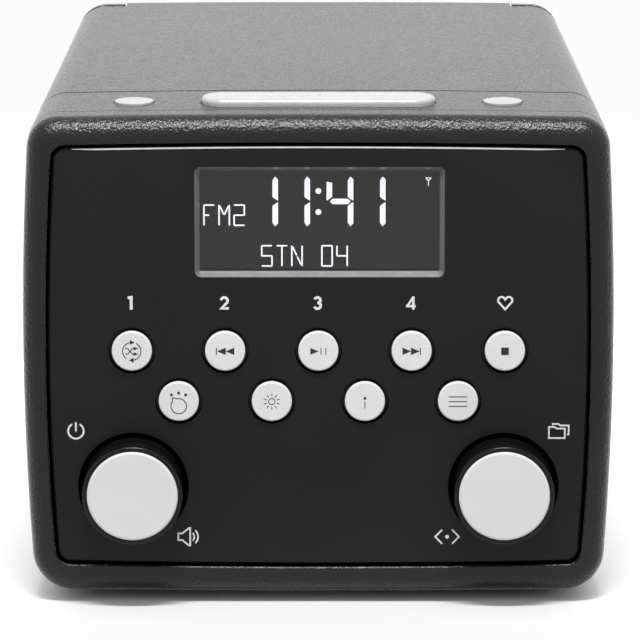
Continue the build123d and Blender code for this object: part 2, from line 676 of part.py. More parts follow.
def rear_screw_places():
    return [(x, z) for x in (-66.0, 66.0) for z in (16.0, 106.0)]


def round_socket(x, r, bore):
    """Panel socket: a collar in the back wall and a blind bore."""
    body = post_y(x, SOCKET_Z, r, BACK_Y - 4.0, BACK_Y + 0.6)
    body += block(x - r - 1, x + r + 1, BACK_Y - 17, BACK_Y - 2.6, SOCKET_Z - r - 1, SOCKET_Z + r + 1)
    return body - post_y(x, SOCKET_Z, bore, BACK_Y - 13.0, BACK_Y + 1)


def rear_sockets():
    """Supply inlet with its centre pin, line input, headphone jack and a USB port."""
    (inlet_x, inlet_r), (line_x, line_r), (phones_x, phones_r) = socket_places()
    inlet = round_socket(inlet_x, inlet_r, 2.9)
    inlet += post_y(inlet_x, SOCKET_Z, 1.0, BACK_Y - 13.5, BACK_Y - 2.0)
    usb = block(USB_X - 7.2, USB_X + 7.2, BACK_Y - 15, BACK_Y + 0.4, SOCKET_Z - 3.6, SOCKET_Z + 3.6)
    usb -= block(USB_X - 6.2, USB_X + 6.2, BACK_Y - 13, BACK_Y + 1, SOCKET_Z - 2.6, SOCKET_Z + 2.6)
    usb += block(USB_X - 5.6, USB_X + 5.6, BACK_Y - 13.5, BACK_Y - 1.2, SOCKET_Z + 0.2, SOCKET_Z + 2.0)
    return [inlet, round_socket(line_x, line_r, 1.8), round_socket(phones_x, phones_r, 1.8), usb]


def aerial_base():
    """Swivel that turns in the back wall and carries the aerial's fork."""
    base = post_y(AERIAL_X, AERIAL_Z, 5.0, BACK_Y - 3.4, BACK_Y + 1.2)
    base += post_y(AERIAL_X, AERIAL_Z, 6.5, BACK_Y - 5.0, BACK_Y - 3.2)
    base += post_y(AERIAL_X, AERIAL_Z, 6.5, BACK_Y + 0.6, BACK_Y + 2.2)
    for side in (-1, 1):
        z0, z1 = sorted((AERIAL_Z + side * 2.3, AERIAL_Z + side * 4.3))
        base += block(AERIAL_X - 3.5, AERIAL_X + 3.5, BACK_Y + 2, BACK_Y + AERIAL_OFF + 3.0, z0, z1)
    return base - post_z(AERIAL_X, BACK_Y + AERIAL_OFF, 1.2 + RUN, AERIAL_Z - 6, AERIAL_Z + 6)


TUBE_START = 6.0
TUBE_LENGTH = 112.0


def aerial_tube():
    """Elbow with its pivot pin, and the outer tube."""
    y = BACK_Y + AERIAL_OFF
    elbow = block(AERIAL_X - 2.8, AERIAL_X + TUBE_START + 1, y - 2.6, y + 2.6, AERIAL_Z - 2.0, AERIAL_Z + 2.0)
    elbow += post_z(AERIAL_X, y, 1.2, AERIAL_Z - 4.3, AERIAL_Z + 4.3)
    start = AERIAL_X + TUBE_START
    tube = post_x(y, AERIAL_Z, 3.0, start, start + TUBE_LENGTH)
    tube -= post_x(y, AERIAL_Z, 2.4, start + 3, start + TUBE_LENGTH + 1)
    return elbow + tube


def aerial_middle():
    y = BACK_Y + AERIAL_OFF
    start = AERIAL_X + TUBE_START + 4
    rod = post_x(y, AERIAL_Z, 2.4 - RUN, start, AERIAL_X + TUBE_START + TUBE_LENGTH + 1.5)
    return rod - post_x(y, AERIAL_Z, 1.6, start + 3, start + TUBE_LENGTH + 5)


def aerial_tip():
    """Thinnest section with its end bead."""
    y = BACK_Y + AERIAL_OFF
    end = AERIAL_X + TUBE_START + TUBE_LENGTH + 2.0
    rod = post_x(y, AERIAL_Z, 1.6 - RUN, AERIAL_X + TUBE_START + 8, end + 1)
    bead = post_x(y, AERIAL_Z, 3.0, end, end + 4.5)
    return rod + fillet(bead.faces().sort_by(Axis.X)[-1].edges(), 1.5)


def main_board():
    """Circuit board on the floor with its main components."""
    y = DISC_Y
    board = block(-56, 56, y - 62, y + 62, MAIN_BOARD_Z, MAIN_BOARD_Z + BOARD_T)
    top = MAIN_BOARD_Z + BOARD_T - 0.1
    board += block(-14, 12, y - 40, y - 14, top, top + 2.2)
    board += block(24, 40, y + 8, y + 24, top, top + 1.8)
    board += block(-44, -22, y - 52, y - 30, top, top + 6.5)
    board += block(20, 50, y - 52, y - 44, top, top + 9.0)
    for i in range(4):
        board += post_z(i * 12.0 - 40, y + 40, 4.0, top, top + 12.0)
    return board


def screw(place, r_head, r_shank):
    """Pan-head screw pointing up out of its place, head first."""
    head = Pos(0, 0, -0.9) * Cylinder(r_head, 1.8)
    head = fillet(head.faces().sort_by(Axis.Z)[0].edges(), 0.7)
    head -= Pos(0, 0, -1.6) * Box(0.8, r_head * 1.3, 0.7)
    head -= Pos(0, 0, -1.6) * Box(r_head * 1.3, 0.8, 0.7)
    shank = Pos(0, 0, 2.6) * Cylinder(r_shank, 5.3)
    return place * (head + shank)


def screws():
    """Four screws through the rear panel."""
    group = []
    for x, z in rear_screw_places():
        group.append(screw(Pos(x, BACK_Y, z) * Rot(90, 0, 0), 2.8, 1.5))
    return group


# ---------------------------------------------------------------- write the nodes
save("front_bezel", front_bezel())
save("front_panel", front_panel())
save("display_frame", display_frame())
save("display_window", display_window())
save("lcd_glass", lcd_glass())
save("lcd_backlight", lcd_backlight())
save("front_board", front_board())

switches = [tact_switch_front(x, z) for _, x, z in button_places()]
switches += [tact_switch_top(side * ALARM_X, ALARM_Y) for side in (-1, 1)]
switches += [tact_switch_top(side * SNOOZE_STEM_X, TOP_LINE_Y) for side in (-1, 1)]
save("tact_switches", *switches)

for name, x, z in button_places():
    save(name, front_button(x, z))

for name, x in (("volume", -KNOB_X), ("tuning", KNOB_X)):
    save(f"{name}_knob", knob_body(x))
    save(f"{name}_knob_cap", knob_cap(x))
    save(f"{name}_shaft", knob_shaft(x))
    save(f"{name}_encoder_rotor", encoder_rotor(x))
    save(f"{name}_encoder", encoder_case(x))

save("control_band", control_band())
save("snooze_bar", snooze_bar())
save("alarm_1_button", alarm_button(-ALARM_X))
save("alarm_2_button", alarm_button(ALARM_X))
save("top_board", top_board())

save("rear_housing", rear_housing())
save("rear_panel", rear_panel())
save("cd_lid", cd_lid())
save("lid_hinge_pin", lid_hinge_pin())
save("cd_deck", cd_deck())
save("well_floor", well_floor())

save("loader_chassis", loader_chassis())
save("loader_grommets", *loader_grommets())
save("turntable", turntable())
save("spindle_motor", spindle_motor())
save("optical_pickup", optical_pickup())
save("guide_rod", guide_rod())
save("lead_screw", lead_screw())
save("sled_motor", sled_motor())

for name, make in (("speaker_frame", speaker_frame), ("speaker_cone", speaker_cone), ("grille", grille)):
    left = make()
    save(f"left_{name}", left)
    save(f"right_{name}", mirror(left, about=Plane.YZ))

save("rear_sockets", *rear_sockets())
save("aerial_base", aerial_base())
save("aerial_tube", aerial_tube())
save("aerial_middle", aerial_middle())
save("aerial_tip", aerial_tip())
save("main_board", main_board())
save("feet", *feet_solids())
save("screws", *screws())
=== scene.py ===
import json
from math import atan2, cos, hypot, pi, radians, sin

import bpy
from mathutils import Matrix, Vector


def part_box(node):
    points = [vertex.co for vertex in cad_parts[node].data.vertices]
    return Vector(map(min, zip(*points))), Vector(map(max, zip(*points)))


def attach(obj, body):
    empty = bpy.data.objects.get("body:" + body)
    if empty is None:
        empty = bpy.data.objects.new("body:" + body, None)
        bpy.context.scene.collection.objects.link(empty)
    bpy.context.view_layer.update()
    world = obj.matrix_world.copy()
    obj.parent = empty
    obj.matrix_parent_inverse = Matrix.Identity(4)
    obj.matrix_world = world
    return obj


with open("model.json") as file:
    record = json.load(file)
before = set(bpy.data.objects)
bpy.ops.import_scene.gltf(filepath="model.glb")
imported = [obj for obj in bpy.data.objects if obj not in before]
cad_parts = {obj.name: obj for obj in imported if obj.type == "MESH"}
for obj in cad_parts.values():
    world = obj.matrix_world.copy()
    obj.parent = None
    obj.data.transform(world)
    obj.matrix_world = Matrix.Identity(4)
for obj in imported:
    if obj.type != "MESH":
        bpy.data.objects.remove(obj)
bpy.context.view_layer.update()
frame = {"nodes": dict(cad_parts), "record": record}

# Looks of the tabletop radio. All lengths are metres, except that the flat artwork is drawn in mm.
MM = 0.001
NODES = frame["nodes"]


# ---------------------------------------------------------------- places taken from the frame
def box_of(node):
    low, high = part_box(node)
    return low, high, (low + high) / 2


PANEL_LOW, PANEL_HIGH, PANEL_MID = box_of("front_panel")
PANEL_Y = PANEL_LOW.y


# ---------------------------------------------------------------- node material helpers
class Surface:
    """One Principled material and the few texture nodes that shape it."""

    def __init__(self, name, color, roughness, metallic=0.0, specular=0.5):
        self.material = bpy.data.materials.new(name)
        self.material.use_nodes = True
        self.tree = self.material.node_tree
        self.shader = self.tree.nodes["Principled BSDF"]
        self.set("Base Color", (*color, 1.0))
        self.set("Roughness", roughness)
        self.set("Metallic", metallic)
        self.set("Specular IOR Level", specular)
        self.place = self.node("ShaderNodeTexCoord").outputs["Object"]
        self.normal = None

    def set(self, socket, value):
        self.shader.inputs[socket].default_value = value

    def node(self, kind, **values):
        made = self.tree.nodes.new(kind)
        for key, value in values.items():
            setattr(made, key, value)
        return made

    def link(self, a, b):
        self.tree.links.new(a, b)

    def stretched(self, scale):
        """Object coordinates stretched by a scale for each axis."""
        mapping = self.node("ShaderNodeMapping")
        mapping.inputs["Scale"].default_value = scale
        self.link(self.place, mapping.inputs["Vector"])
        return mapping.outputs["Vector"]

    def noise(self, size, detail=3.0, rough=0.55, place=None):
        """Noise whose features are about size metres across."""
        made = self.node("ShaderNodeTexNoise")
        made.inputs["Scale"].default_value = 1.0 / size
        made.inputs["Detail"].default_value = detail
        made.inputs["Roughness"].default_value = rough
        self.link(place or self.place, made.inputs["Vector"])
        return made.outputs["Fac"]

    def cells(self, size):
        """Distance to the nearest of cells about size metres across."""
        made = self.node("ShaderNodeTexVoronoi")
        made.inputs["Scale"].default_value = 1.0 / size
        self.link(self.place, made.inputs["Vector"])
        return made.outputs["Distance"]

    def remap(self, value, low, high, to_low, to_high):
        made = self.node("ShaderNodeMapRange")
        sockets = ("From Min", "From Max", "To Min", "To Max")
        for socket, number in zip(sockets, (low, high, to_low, to_high)):
            made.inputs[socket].default_value = number
        self.link(value, made.inputs["Value"])
        return made.outputs["Result"]

    def vary_roughness(self, value, low, high):
        self.link(self.remap(value, 0.3, 0.7, low, high), self.shader.inputs["Roughness"])

    def vary_color(self, value, dark, light):
        """Colour between dark and light as value goes through its middle range."""
        ramp = self.node("ShaderNodeValToRGB")
        ramp.color_ramp.elements[0].position = 0.3
        ramp.color_ramp.elements[0].color = (*dark, 1.0)
        ramp.color_ramp.elements[1].position = 0.7
        ramp.color_ramp.elements[1].color = (*light, 1.0)
        self.link(value, ramp.inputs["Fac"])
        self.link(ramp.outputs["Color"], self.shader.inputs["Base Color"])

    def behind(self, y):
        """One where the surface lies behind the depth y, zero in front of it."""
        axes = self.node("ShaderNodeSeparateXYZ")
        self.link(self.place, axes.inputs["Vector"])
        return self.remap(axes.outputs["Y"], y, y + 0.0001, 0.0, 1.0)

    def paint_shade(self, mask, specular=None, sheen=None):
        """Painted shade: matt black wherever mask is one, in place of the shade in grooves, dishes and
        gaps; specular and sheen are the values elsewhere.
        """
        plain = self.shader.inputs["Base Color"].links[0].from_socket
        mix = self.node("ShaderNodeMix", data_type="RGBA")
        factor, first, second = mix.inputs[0], mix.inputs[6], mix.inputs[7]
        self.link(mask, factor)
        self.link(plain, first)
        # colour of the painted shade
        second.default_value = (0.0015, 0.0015, 0.0015, 1.0)
        self.link(mix.outputs[2], self.shader.inputs["Base Color"])
        for socket, value in (("Specular IOR Level", specular), ("Sheen Weight", sheen)):
            if value is not None:
                self.link(self.remap(mask, 0.0, 1.0, value, 0.0), self.shader.inputs[socket])

    def bump(self, height, distance, strength=1.0):
        """Adds a layer of relief, distance metres deep."""
        made = self.node("ShaderNodeBump")
        made.inputs["Distance"].default_value = distance
        made.inputs["Strength"].default_value = strength
        self.link(height, made.inputs["Height"])
        if self.normal is not None:
            self.link(self.normal, made.inputs["Normal"])
        self.normal = made.outputs["Normal"]
        self.link(self.normal, self.shader.inputs["Normal"])


# ---------------------------------------------------------------- materials
LEATHER_SPECULAR = 0.29
LEATHER_SHEEN = 0.31


def leather_surface(name):
    """Black moulded plastic with a fine pebbled grain, as on the cabinet."""
    s = Surface(name, (0.0035, 0.0035, 0.0037), 0.24, specular=LEATHER_SPECULAR)
    s.set("Sheen Weight", LEATHER_SHEEN)
    s.set("Sheen Roughness", 0.3)
    s.set("Sheen Tint", (1.0, 1.0, 1.0, 1.0))
    s.vary_color(s.noise(0.03, 2.0), (0.003, 0.003, 0.0031), (0.0045, 0.0045, 0.0047))
    s.vary_roughness(s.noise(0.0011, 2.0), 0.2, 0.3)
    s.bump(s.cells(0.00085), 0.0002, 0.7)
    s.bump(s.noise(0.0005, 3.0), 0.0002, 0.7)
    return s


def rim_plastic():
    """The same plastic on the rim; its faces inside the groove are painted matt black as painted shade,
    since the groove lies in shadow.
    """
    s = leather_surface("rim_plastic")
    # painted shade: inward-facing faces behind the rim's front are made matt black
    outward = s.node("ShaderNodeVectorMath", operation="SUBTRACT")
    s.link(s.place, outward.inputs[0])
    outward.inputs[1].default_value = PANEL_MID
    facing = s.node("ShaderNodeTexCoord").outputs["Normal"]
    across = s.node("ShaderNodeVectorMath", operation="MULTIPLY")
    s.link(outward.outputs["Vector"], across.inputs[0])
    across.inputs[1].default_value = (1.0, 0.0, 1.0)
    dot = s.node("ShaderNodeVectorMath", operation="DOT_PRODUCT")
    s.link(across.outputs["Vector"], dot.inputs[0])
    s.link(facing, dot.inputs[1])
    inward = s.remap(dot.outputs["Value"], 0.0, 0.004, 1.0, 0.0)
    deep = s.behind(PANEL_Y - 0.0005)
    groove_shade = s.node("ShaderNodeMath", operation="MULTIPLY")
    s.link(inward, groove_shade.inputs[0])
    s.link(deep, groove_shade.inputs[1])
    s.paint_shade(groove_shade.outputs["Value"], LEATHER_SPECULAR, LEATHER_SHEEN)
    return s.material


def satin_black():
    """Smooth front panel with a very fine spark-eroded texture; everything behind its face, such as the
    knob dishes, is painted matt black as painted shade.
    """
    specular = 0.14
    s = Surface("satin_black", (0.0065, 0.0065, 0.0068), 0.26, specular=specular)
    s.vary_color(s.noise(0.05, 2.0), (0.006, 0.006, 0.0063), (0.0075, 0.0075, 0.0078))
    s.vary_roughness(s.noise(0.02, 4.0), 0.22, 0.3)
    s.bump(s.noise(0.00022, 2.0), 0.000012, 0.35)
    # painted shade in the dishes and holes behind the panel's face
    s.paint_shade(s.behind(PANEL_Y + 0.00047), specular)
    return s.material


def gloss_black():
    """Knob drums, smoother than the panel."""
    s = Surface("gloss_black", (0.004, 0.004, 0.004), 0.18, specular=0.2)
    s.vary_roughness(s.noise(0.006, 3.0), 0.15, 0.22)
    s.bump(s.noise(0.0005, 2.0), 0.000006, 0.3)
    return s.material


def bezel_black():
    """Polished frame of the display, a little lighter than the panel."""
    s = Surface("bezel_black", (0.098, 0.098, 0.098), 0.2, specular=0.9)
    s.vary_color(s.noise(0.02, 2.0), (0.093, 0.093, 0.094), (0.103, 0.103, 0.104))
    s.vary_roughness(s.noise(0.012, 2.0), 0.18, 0.22)
    s.bump(s.noise(0.0004, 2.0), 0.000003, 0.2)
    return s.material


def moulded_black(name="moulded_black"):
    """Plain inner mouldings."""
    s = Surface(name, (0.018, 0.018, 0.019), 0.55)
    s.vary_roughness(s.noise(0.01, 3.0), 0.48, 0.64)
    s.bump(s.noise(0.0004, 3.0), 0.00003, 0.4)
    return s.material


def white_plastic(name="white_plastic", shaded_from=None):
    """Satin white plastic with a trace of handling; given a depth in Y, the part behind it is painted
    black as painted shade in the gap round the button.
    """
    s = Surface(name, (0.45, 0.45, 0.455), 0.42, specular=0.4)
    s.vary_color(s.noise(0.012, 4.0), (0.44, 0.44, 0.445), (0.465, 0.465, 0.47))
    s.vary_roughness(s.noise(0.003, 3.0), 0.36, 0.5)
    s.bump(s.noise(0.0003, 2.0), 0.00001, 0.3)
    # painted shade: black behind the given depth
    if shaded_from is not None:
        s.paint_shade(s.behind(shaded_from))
    return s.material


def rubber():
    s = Surface("rubber", (0.02, 0.02, 0.02), 0.85, specular=0.3)
    s.vary_roughness(s.noise(0.002, 3.0), 0.75, 0.95)
    s.bump(s.noise(0.0003, 4.0), 0.00004, 0.5)
    return s.material


def plated_steel():
    """Drawn or stamped plated steel with faint directional scratches."""
    s = Surface("plated_steel", (0.55, 0.55, 0.56), 0.32, metallic=1.0)
    streaks = s.noise(0.0008, 3.0, place=s.stretched((0.08, 1.0, 1.0)))
    s.vary_roughness(streaks, 0.24, 0.42)
    s.vary_color(s.noise(0.01, 3.0), (0.48, 0.48, 0.49), (0.6, 0.6, 0.61))
    s.bump(streaks, 0.000008, 0.3)
    return s.material


def chrome():
    s = Surface("chrome", (0.78, 0.78, 0.79), 0.09, metallic=1.0)
    s.vary_roughness(s.noise(0.004, 4.0), 0.06, 0.16)
    s.bump(s.noise(0.0008, 2.0), 0.000004, 0.2)
    return s.material


def circuit_board():
    """Green solder mask over faint copper tracks."""
    s = Surface("circuit_board", (0.01, 0.07, 0.03), 0.38)
    tracks = s.node("ShaderNodeTexBrick")
    tracks.inputs["Scale"].default_value = 180.0
    tracks.inputs["Mortar Size"].default_value = 0.06
    s.link(s.place, tracks.inputs["Vector"])
    s.vary_color(tracks.outputs["Fac"], (0.008, 0.06, 0.025), (0.02, 0.13, 0.05))
    s.vary_roughness(s.noise(0.005, 3.0), 0.3, 0.45)
    s.bump(tracks.outputs["Fac"], 0.00002, 0.4)
    return s.material


def pressed_paper():
    s = Surface("pressed_paper", (0.02, 0.02, 0.021), 0.8, specular=0.3)
    fibres = s.noise(0.0012, 6.0, 0.7)
    s.vary_color(fibres, (0.014, 0.014, 0.015), (0.035, 0.035, 0.036))
    s.bump(fibres, 0.00008, 0.5)
    return s.material


def clear_window():
    """Clear polished window whose tint is very slightly uneven."""
    s = Surface("clear_window", (1.0, 1.0, 1.0), 0.0)
    s.set("Transmission Weight", 1.0)
    s.set("IOR", 1.28)
    s.vary_color(s.noise(0.01, 4.0), (0.99, 0.99, 0.99), (1.0, 1.0, 1.0))
    return s.material


def shaded_top_white():
    """The same white plastic on the top controls, made darker as painted shade, so that their faces
    under the overhead soft box match the front buttons.
    """
    s = Surface("shaded_top_white", (0.25, 0.25, 0.255), 0.3, specular=0.6)
    s.vary_color(s.noise(0.012, 4.0), (0.24, 0.24, 0.245), (0.265, 0.265, 0.27))
    s.set("Subsurface Weight", 0.5)
    s.set("Subsurface Radius", (1.0, 1.0, 1.0))
    s.set("Subsurface Scale", 0.002)
    s.vary_roughness(s.noise(0.003, 3.0), 0.26, 0.36)
    s.bump(s.noise(0.0003, 2.0), 0.00001, 0.3)
    return s.material


def painted_edge_highlight():
    """Painted highlight along the top of the panel: a light strip in place of the soft box's reflection
    in the panel's top chamfer.
    """
    s = Surface("painted_edge_highlight", (0.72, 0.72, 0.72), 0.3)
    s.vary_color(s.noise(0.004, 3.0), (0.62, 0.62, 0.62), (0.78, 0.78, 0.78))
    s.bump(s.noise(0.0003, 2.0), 0.000006, 0.3)
    return s.material


def lcd_face():
    """Dark negative display behind the window."""
    s = Surface("lcd_face", (0.003, 0.003, 0.0032), 0.5, specular=0.05)
    s.vary_color(s.noise(0.02, 2.0), (0.0028, 0.0028, 0.003), (0.0032, 0.0032, 0.0034))
    s.set("Emission Color", (1.0, 1.0, 1.03, 1.0))
    s.set("Emission Strength", 0.014)
    s.vary_roughness(s.noise(0.01, 2.0), 0.45, 0.55)
    return s.material


def diffuser():
    s = Surface("diffuser", (0.75, 0.75, 0.78), 0.5)
    s.vary_roughness(s.noise(0.004, 3.0), 0.45, 0.6)
    s.bump(s.cells(0.0012), 0.00005, 0.4)
    return s.material


def lit_segment():
    """Backlit display segment, very slightly lavender."""
    s = Surface("lit_segment", (0.3, 0.3, 0.32), 0.5)
    s.vary_color(s.noise(0.0004, 2.0), (0.27, 0.27, 0.29), (0.33, 0.33, 0.35))
    s.set("Emission Color", (0.93, 0.91, 1.0, 1.0))
    s.set("Emission Strength", 0.82)
    return s.material


def light_ink():
    """Pale grey screen print on the panel."""
    s = Surface("light_ink", (0.46, 0.46, 0.46), 0.55)
    s.vary_color(s.noise(0.0006, 3.0), (0.42, 0.42, 0.42), (0.52, 0.52, 0.52))
    s.bump(s.noise(0.0002, 2.0), 0.000008, 0.3)
    return s.material


def dark_ink():
    """Dark print on the white buttons."""
    s = Surface("dark_ink", (0.012, 0.012, 0.013), 0.5, specular=0.3)
    s.vary_color(s.noise(0.0006, 3.0), (0.009, 0.009, 0.010), (0.018, 0.018, 0.019))
    s.bump(s.noise(0.0002, 2.0), 0.000006, 0.3)
    return s.material


SLOT_MATERIALS = {
    "cabinet_black": leather_surface("leathered_plastic").material,
    "panel_black": satin_black(),
    "display_bezel": bezel_black(),
    "window": clear_window(),
    "lcd": lcd_face(),
    "backlight": diffuser(),
    "circuit_board": circuit_board(),
    "switch_plastic": moulded_black(),
    "button_white": white_plastic(),
    "knob_black": gloss_black(),
    "steel": plated_steel(),
    "deck_plastic": moulded_black("deck_plastic"),
    "chrome_tube": chrome(),
    "hinge_black": moulded_black("hinge_black"),
    "rubber": rubber(),
    "speaker_paper": pressed_paper(),
}
RIM_MATERIAL = rim_plastic()
# the button sides behind the panel face are painted black: painted shade in the gap round each button
CAP_MATERIAL = white_plastic("capped_white", PANEL_Y + 0.0002)
# darker copy of the white plastic: painted shade for the top controls
TOP_MATERIAL = shaded_top_white()
TOP_CONTROLS = ("snooze_bar", "alarm_1_button", "alarm_2_button")
LIGHT_INK = light_ink()
DARK_INK = dark_ink()
LIT_SEGMENT = lit_segment()


def dress_cad_nodes():
    """Every CAD node takes the material of its slot in the record, save the round buttons, the top
    controls and the front bezel, which take their own materials.
    """
    for part in frame["record"]["subparts"]:
        obj = NODES[part["node"]]
        obj.data.materials.clear()
        if part["node"] in BUTTON_SYMBOLS:
            material = CAP_MATERIAL
        elif part["node"] in TOP_CONTROLS:
            material = TOP_MATERIAL
        elif part["node"] == "front_bezel":
            material = RIM_MATERIAL
        else:
            material = SLOT_MATERIALS[part["material_slot"]]
        obj.data.materials.append(material)


# ---------------------------------------------------------------- flat artwork
class Artwork:
    """Flat shapes drawn in X and Z, in millimetres, made into one thin raised mesh."""

    def __init__(self):
        self.points = []
        self.faces = []
        self.layer = []
        self.layers = 0

    def _add(self, points):
        start = len(self.points)
        self.points += points
        self.layer += [self.layers] * len(points)
        return list(range(start, start + len(points)))

    def fill(self, points):
        """One filled outline without holes."""
        self.faces.append(self._add(points))
        self.layers += 1

    def disc(self, x, z, r, steps=28):
        turn = [2 * pi * i / steps for i in range(steps)]
        self.fill([(x + r * cos(t), z + r * sin(t)) for t in turn])

    def line(self, points, width, closed=False, round_ends=True):
        """A line of even width through the points, mitred at its corners."""
        n = len(points)
        left, right = [], []
        for i, (x, z) in enumerate(points):
            ahead = points[(i + 1) % n] if closed or i < n - 1 else None
            behind = points[i - 1] if closed or i > 0 else None
            sides = []
            for a, b in ((behind, (x, z)), ((x, z), ahead)):
                if a is not None and b is not None:
                    length = hypot(b[0] - a[0], b[1] - a[1])
                    sides.append((-(b[1] - a[1]) / length, (b[0] - a[0]) / length))
            nx, nz = (sum(s[k] for s in sides) / len(sides) for k in (0, 1))
            reach = width / 2 / max(nx * nx + nz * nz, 0.2)
            left.append((x + nx * reach, z + nz * reach))
            right.append((x - nx * reach, z - nz * reach))
        a, b = self._add(left), self._add(right)
        for i in range(n if closed else n - 1):
            j = (i + 1) % n
            self.faces.append([b[i], b[j], a[j], a[i]])
        if round_ends and not closed:
            self._cap(points[0], points[1], width, a[0], b[0])
            self._cap(points[-1], points[-2], width, b[-1], a[-1])
        self.layers += 1

    def strip(self, upper, lower):
        """A band between two rows of points."""
        a, b = self._add(upper), self._add(lower)
        for i in range(len(upper) - 1):
            self.faces.append([b[i], b[i + 1], a[i + 1], a[i]])
        self.layers += 1

    def _cap(self, end, inner, width, first, last):
        """Half-round end that joins the two end points of a line."""
        out = atan2(end[1] - inner[1], end[0] - inner[0])
        arc = [out - pi / 2 + pi * k / 8 for k in range(1, 8)]
        middle = self._add([(end[0] + width / 2 * cos(t), end[1] + width / 2 * sin(t)) for t in arc])
        self.faces.append([first] + middle[::-1] + [last])

    def arc(self, x, z, r, start, stop, width, round_ends=True):
        steps = max(4, int(abs(stop - start) / 9))
        turn = [radians(start + (stop - start) * i / steps) for i in range(steps + 1)]
        self.line([(x + r * cos(t), z + r * sin(t)) for t in turn], width, round_ends=round_ends)

    def ring(self, x, z, r, width, steps=40):
        turn = [2 * pi * i / steps for i in range(steps)]
        self.line([(x + r * cos(t), z + r * sin(t)) for t in turn], width, closed=True)

    def build(self, name, x, y, z, body, material, thickness=0.00003):
        """Raised artwork whose origin is at x, z on a surface that faces the front at depth y."""
        count = len(self.points)
        step = 0.000001
        front = [(x + px * MM, y - thickness - step * k, z + pz * MM)
                 for (px, pz), k in zip(self.points, self.layer)]
        back = [(x + px * MM, y + step, z + pz * MM) for px, pz in self.points]
        faces = [face_to_front(face, self.points) for face in self.faces]
        edges = {}
        for face in faces:
            for a, b in zip(face, face[1:] + face[:1]):
                edges[(a, b)] = (b, a) not in edges
                if (b, a) in edges:
                    edges[(b, a)] = False
        sides = [[b, a, a + count, b + count] for (a, b), open_edge in edges.items() if open_edge]
        rear = [[i + count for i in reversed(face)] for face in faces]
        mesh = bpy.data.meshes.new(name)
        mesh.from_pydata(front + back, [], faces + rear + sides)
        mesh.validate()
        mesh.update()
        mesh.materials.append(material)
        obj = bpy.data.objects.new(name, mesh)
        bpy.context.scene.collection.objects.link(obj)
        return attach(obj, body)


def face_to_front(face, points):
    """The face's corners in the order that makes it face the front, -Y."""
    area = 0.0
    for a, b in zip(face, face[1:] + face[:1]):
        area += points[a][0] * points[b][1] - points[b][0] * points[a][1]
    return face if area > 0 else face[::-1]


# ---------------------------------------------------------------- symbols on the round buttons
HAIR = 0.27      # width of the thin lines on the buttons, in mm


def repeat_shuffle(art):
    """Two circling arrows around two crossing ones."""
    r = 2.65
    art.arc(0, 0, r, 232, 92, HAIR)
    art.arc(0, 0, r, 60, -88, HAIR)
    for way in (-1, 1):
        art.fill([(-0.5 * way, 3.35 * way), (0.85 * way, 2.62 * way), (-0.5 * way, 1.95 * way)])
        rise = 0.8 * way
        art.line([(-1.8, rise), (-1.15, rise), (0.2, -rise), (1.1, -rise)], HAIR)
        art.fill([(0.55, -rise - 0.52), (1.9, -rise), (0.55, -rise + 0.52)])


def skip(art, way):
    """Two triangles and a bar; way is 1 for next and -1 for previous."""
    for base in (-2.65, -0.2):
        art.fill([(way * base, 1.08), (way * base, -1.08), (way * (base + 2.5), 0)])
    art.line([(way * 2.5, 1.05), (way * 2.5, -1.05)], HAIR, round_ends=False)


def previous_track(art):
    skip(art, -1)


def next_track(art):
    skip(art, 1)


def play_pause(art):
    art.fill([(-2.3, 1.0), (-2.3, -1.0), (0.05, 0)])
    for x in (0.75, 2.15):
        art.line([(x, 1.0), (x, -1.0)], 0.24, round_ends=False)


def stop(art):
    art.fill([(-1.1, -1.1), (1.1, -1.1), (1.1, 1.1), (-1.1, 1.1)])


def source(art):
    """A knob with a pointer under three dots."""
    outline = [(2.25 * cos(radians(t)), 2.25 * sin(radians(t)) - 1.35) for t in range(-215, 105, 8)]
    art.line(outline + [(-1.75, 1.15)], HAIR, closed=True)
    for x, z in ((-2.1, 2.0), (0.0, 2.55), (2.05, 2.0)):
        art.disc(x, z, 0.43)


def dimmer(art):
    """A small sun with ten rays."""
    art.ring(0, 0, 0.9, 0.24)
    for i in range(10):
        t = pi / 2 + i * pi / 5
        art.line([(1.5 * cos(t), 1.5 * sin(t)), (2.4 * cos(t), 2.4 * sin(t))], 0.22, round_ends=False)


def information(art):
    art.disc(0, 0.95, 0.42)
    art.line([(0, 0.0), (0, -2.0)], 0.24, round_ends=False)


def menu(art):
    for z in (1.4, 0.0, -1.4):
        art.line([(-2.7, z), (2.7, z)], 0.26, round_ends=False)


BUTTON_SYMBOLS = {
    "preset_1_button": repeat_shuffle,
    "preset_2_button": previous_track,
    "preset_3_button": play_pause,
    "preset_4_button": next_track,
    "favourite_button": stop,
    "source_button": source,
    "dimmer_button": dimmer,
    "info_button": information,
    "menu_button": menu,
}


def button_symbols():
    for node, draw in BUTTON_SYMBOLS.items():
        low, _, middle = box_of(node)
        art = Artwork()
        draw(art)
        art.build(f"{node}_symbol", middle.x, low.y, middle.z, node, DARK_INK)


# ---------------------------------------------------------------- print on the panel, and a painted highlight along its top edge
PRINT = 0.76     # width of the panel's printed lines, in mm
LABEL_RISE = 14.05 * MM        # labels above the upper row of buttons
ICON_RISE = 16.6 * MM          # upper icons above the knobs' axes, and lower ones below them
ICON_DROP = 15.0 * MM
POWER_OUT = 16.55 * MM         # how far each icon is from its knob's axis, sideways
VOLUME_IN = 15.8 * MM
FOLDER_OUT = 15.95 * MM
TUNE_IN = 16.2 * MM


def one(art):
    art.line([(-1.1, 1.45), (-0.1, 1.62), (-0.1, -2.0)], PRINT * 1.1, round_ends=False)


def two(art):
    top = [(0.95 * cos(radians(t)) - 0.2, 0.62 + 0.98 * sin(radians(t))) for t in range(170, -41, -15)]
    art.line(top + [(-1.0, -1.62), (1.1, -1.62)], PRINT, round_ends=False)


